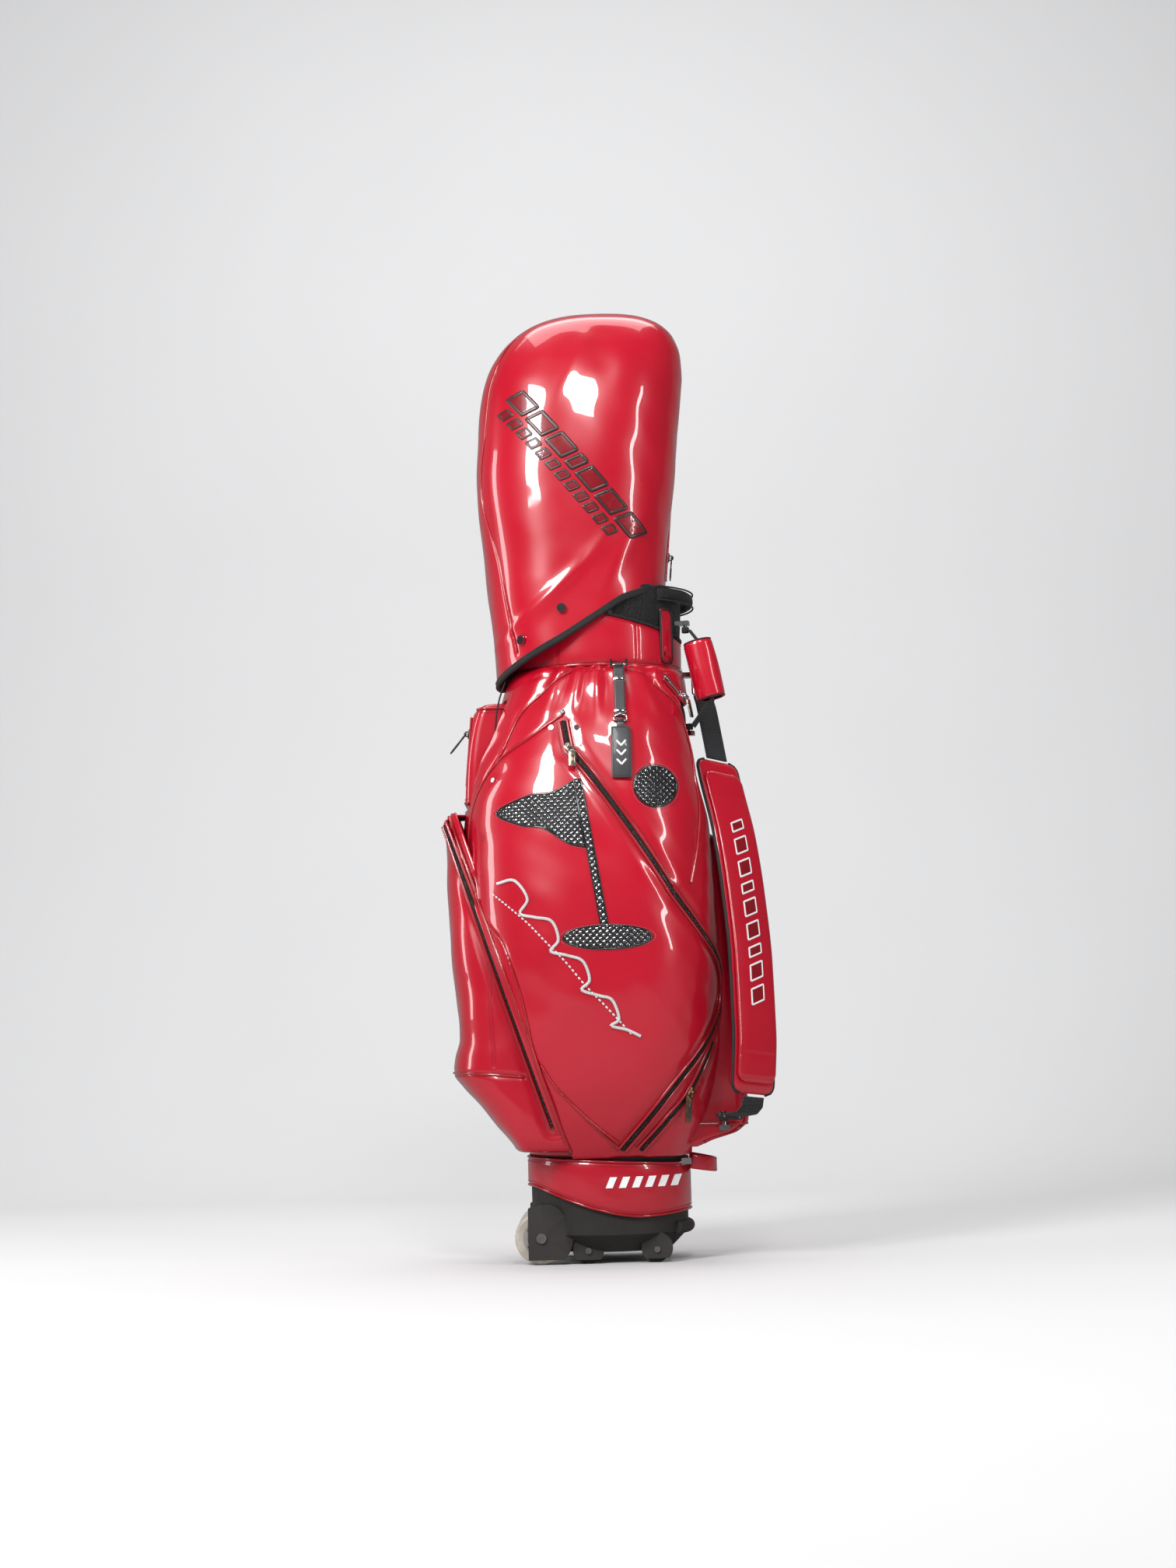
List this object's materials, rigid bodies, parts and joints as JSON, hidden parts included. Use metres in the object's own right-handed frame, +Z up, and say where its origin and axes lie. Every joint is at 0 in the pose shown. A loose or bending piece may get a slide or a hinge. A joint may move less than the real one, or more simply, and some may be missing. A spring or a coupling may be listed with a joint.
{
  "type": "wheeled golf bag",
  "caption": "Upright wheeled golf bag in glossy red leather with a rain hood, zipped pockets, a padded shoulder strap and a moulded base on wheels.",
  "frame": {"origin": "centre of the base cup on the ground", "axes": "+Z up, +X towards the shoulder strap (spine) side, -Y towards the main front pocket"},
  "size_m": [0.4298, 0.3602, 1.27],
  "materials": {
    "patent_red": "glossy",
    "red_lining": "woven",
    "base_plastic": "textured",
    "eva_foam": "foam",
    "wheel_hub": "satin",
    "wheel_tyre": "translucent polyurethane",
    "roller_rubber": "satin",
    "bearing_steel": "satin",
    "axle_steel": "satin",
    "liner_plastic": "matte",
    "stay_fibre": "satin",
    "divider_fabric": "brushed",
    "frame_plastic": "matte",
    "mesh_black": "spacer mesh",
    "zip_black": "coil",
    "zip_metal": "polished",
    "pull_metal": "polished",
    "pull_leather": "matte",
    "bronze_metal": "aged",
    "rivet_metal": "polished",
    "trim_black": "matte",
    "webbing_black": "woven",
    "tag_leather": "matte"
  },
  "bodies": {
    "bag": {"base_shell": "base_plastic", "base_band": "patent_red", "base_pad": "eva_foam", "wheel_axles": "axle_steel", "roller_pins": "axle_steel", "body_tube": "liner_plastic", "body_skin": "patent_red", "stay_rods": "stay_fibre", "divider_sheets": "divider_fabric", "top_frame": "frame_plastic", "collar_band": "patent_red", "collar_pad": "mesh_black", "collar_tab": "patent_red", "top_handle": "mesh_black", "front_pocket": "patent_red", "back_pocket": "patent_red", "ball_pocket": "patent_red", "valuables_pocket": "patent_red", "strap_side_pocket": "patent_red", "spine_pad": "mesh_black", "zip_tracks": "zip_black", "rivets": "rivet_metal", "body_anchors": "rivet_metal"},
    "wheel_front": {"wheel_hub_front": "wheel_hub", "wheel_tyre_front": "wheel_tyre", "wheel_bearings_front": "bearing_steel"},
    "wheel_back": {"wheel_hub_back": "wheel_hub", "wheel_tyre_back": "wheel_tyre", "wheel_bearings_back": "bearing_steel"},
    "roller_front_mid": {"roller_front_mid": "roller_rubber"},
    "roller_front_end": {"roller_front_end": "roller_rubber"},
    "roller_back_mid": {"roller_back_mid": "roller_rubber"},
    "roller_back_end": {"roller_back_end": "roller_rubber"},
    "hood_body": {"hood": "patent_red", "hood_trim": "trim_black", "hood_snaps": "rivet_metal", "hood_zip_track": "zip_black"},
    "front_slider": {"front_zip_slider": "zip_metal"},
    "front_pull": {"front_zip_pull": "pull_metal"},
    "back_slider": {"back_zip_slider": "zip_metal"},
    "back_pull": {"back_zip_pull": "pull_metal"},
    "lower_slider": {"lower_zip_slider": "zip_metal"},
    "lower_pull": {"lower_zip_pull": "bronze_metal"},
    "ball_slider": {"ball_zip_slider": "zip_metal"},
    "ball_pull": {"ball_zip_pull": "pull_metal"},
    "small_slider": {"small_zip_slider": "zip_metal"},
    "small_pull": {"small_zip_pull": "pull_metal"},
    "valuables_slider": {"valuables_zip_slider": "zip_metal"},
    "valuables_pull": {"valuables_zip_pull": "pull_leather"},
    "hood_slider": {"hood_zip_slider": "zip_metal"},
    "hood_pull": {"hood_zip_pull": "pull_metal"},
    "shoulder_strap": {"strap_webbing": "webbing_black", "strap_pad": "mesh_black", "strap_sleeve": "patent_red", "strap_fittings": "rivet_metal"},
    "carry_handle": {"carry_webbing": "webbing_black", "carry_grip": "patent_red"},
    "tag_hanger": {"tag_strap": "trim_black"},
    "tag_plate": {"bag_tag": "tag_leather"},
    "low_loop": {"grab_loop": "patent_red"}
  },
  "joints": [
    {"name": "wheel_front_spin", "type": "hinge", "parent": "bag", "child": "wheel_front", "pos_m": [-0.0905, -0.066, 0.0345], "axis": [0, 1, 0], "continuous": true},
    {"name": "wheel_back_spin", "type": "hinge", "parent": "bag", "child": "wheel_back", "pos_m": [-0.0905, 0.066, 0.0345], "axis": [0, 1, 0], "continuous": true},
    {"name": "roller_front_mid_spin", "type": "hinge", "parent": "bag", "child": "roller_front_mid", "pos_m": [-0.03, -0.067, 0.017], "axis": [0, 1, 0], "continuous": true},
    {"name": "roller_front_end_spin", "type": "hinge", "parent": "bag", "child": "roller_front_end", "pos_m": [0.059, -0.067, 0.017], "axis": [0, 1, 0], "continuous": true},
    {"name": "roller_back_mid_spin", "type": "hinge", "parent": "bag", "child": "roller_back_mid", "pos_m": [-0.03, 0.067, 0.017], "axis": [0, 1, 0], "continuous": true},
    {"name": "roller_back_end_spin", "type": "hinge", "parent": "bag", "child": "roller_back_end", "pos_m": [0.059, 0.067, 0.017], "axis": [0, 1, 0], "continuous": true},
    {"name": "hood_lift", "type": "slide", "parent": "bag", "child": "hood_body", "axis": [0, 0, 1], "range_m": [0, 0.2]},
    {"name": "front_zip_slide", "type": "hinge", "parent": "bag", "child": "front_slider", "pos_m": [-0.03728, 0.24487, 0.51005], "axis": [-0.8121, -0.2078, -0.5452], "range_deg": [-29.8, 0]},
    {"name": "front_pull_flip", "type": "hinge", "parent": "front_slider", "child": "front_pull", "pos_m": [-0.04004, -0.15658, 0.66719], "axis": [-0.8121, -0.2078, -0.5452], "range_deg": [0, 110]},
    {"name": "back_zip_slide", "type": "hinge", "parent": "bag", "child": "back_slider", "pos_m": [-0.03728, -0.24487, 0.51005], "axis": [0.8121, -0.2078, 0.5452], "range_deg": [-29.8, 0]},
    {"name": "back_pull_flip", "type": "hinge", "parent": "back_slider", "child": "back_pull", "pos_m": [-0.04004, 0.15658, 0.66719], "axis": [0.8121, -0.2078, 0.5452], "range_deg": [0, 110]},
    {"name": "lower_zip_slide", "type": "hinge", "parent": "bag", "child": "lower_slider", "pos_m": [0.02885, 0.04375, 0.24182], "axis": [-0.7439, -0.4175, 0.5218], "range_deg": [0, 23.5]},
    {"name": "lower_pull_flip", "type": "hinge", "parent": "lower_slider", "child": "lower_pull", "pos_m": [0.10801, -0.12699, 0.21808], "axis": [-0.7439, -0.4175, 0.5218], "range_deg": [0, 110]},
    {"name": "ball_zip_slide", "type": "hinge", "parent": "bag", "child": "ball_slider", "pos_m": [-0.08543, -1.29803, 0.2199], "axis": [0.9468, 0, 0.3219], "range_deg": [0, 11.8]},
    {"name": "ball_pull_flip", "type": "hinge", "parent": "ball_slider", "child": "ball_pull", "pos_m": [-0.07523, 0.12631, 0.18989], "axis": [0.9468, 0, 0.3219], "range_deg": [0, 110]},
    {"name": "small_zip_slide", "type": "slide", "parent": "bag", "child": "small_slider", "axis": [-0.5354, -0.6054, 0.5889], "range_m": [0, 0.03]},
    {"name": "small_pull_flip", "type": "hinge", "parent": "small_slider", "child": "small_pull", "pos_m": [0.11544, -0.07007, 0.74136], "axis": [-0.1863, -0.5955, -0.7815], "range_deg": [0, 100]},
    {"name": "valuables_zip_slide", "type": "slide", "parent": "bag", "child": "valuables_slider", "axis": [-0.0896, 0, -0.996], "range_m": [0, 0.058]},
    {"name": "valuables_pull_flip", "type": "hinge", "parent": "valuables_slider", "child": "valuables_pull", "pos_m": [-0.17777, -0.034, 0.70059], "axis": [0, -1, 0], "range_deg": [-70, 25]},
    {"name": "hood_zip_slide", "type": "slide", "parent": "hood_body", "child": "hood_slider", "axis": [0.0878, 0, 0.9961], "range_m": [0, 0.215]},
    {"name": "hood_pull_flip", "type": "hinge", "parent": "hood_slider", "child": "hood_pull", "pos_m": [0.10517, 0, 0.93942], "axis": [0, -1, 0], "range_deg": [0, 110]},
    {"name": "strap_swing", "type": "hinge", "parent": "bag", "child": "shoulder_strap", "pos_m": [0.138, 0.008, 0.772], "axis": [0.0199, -0.166, -0.9859], "range_deg": [-22, 1]},
    {"name": "carry_handle_swing", "type": "hinge", "parent": "bag", "child": "carry_handle", "pos_m": [0.119, -0.054, 0.836], "axis": [0.0143, 0.0143, -0.9998], "range_deg": [-10, 14]},
    {"name": "tag_hanger_swing", "type": "hinge", "parent": "bag", "child": "tag_hanger", "pos_m": [0.028, -0.123, 0.776], "axis": [1, 0, 0], "range_deg": [-80, 0]},
    {"name": "tag_plate_swing", "type": "hinge", "parent": "tag_hanger", "child": "tag_plate", "pos_m": [0.028, -0.14653, 0.69954], "axis": [1, 0, 0], "range_deg": [-60, 0]},
    {"name": "grab_loop_swing", "type": "hinge", "parent": "bag", "child": "low_loop", "pos_m": [0.1035, 0, 0.128], "axis": [0, 1, 0], "range_deg": [-8, 14]}
  ]
}
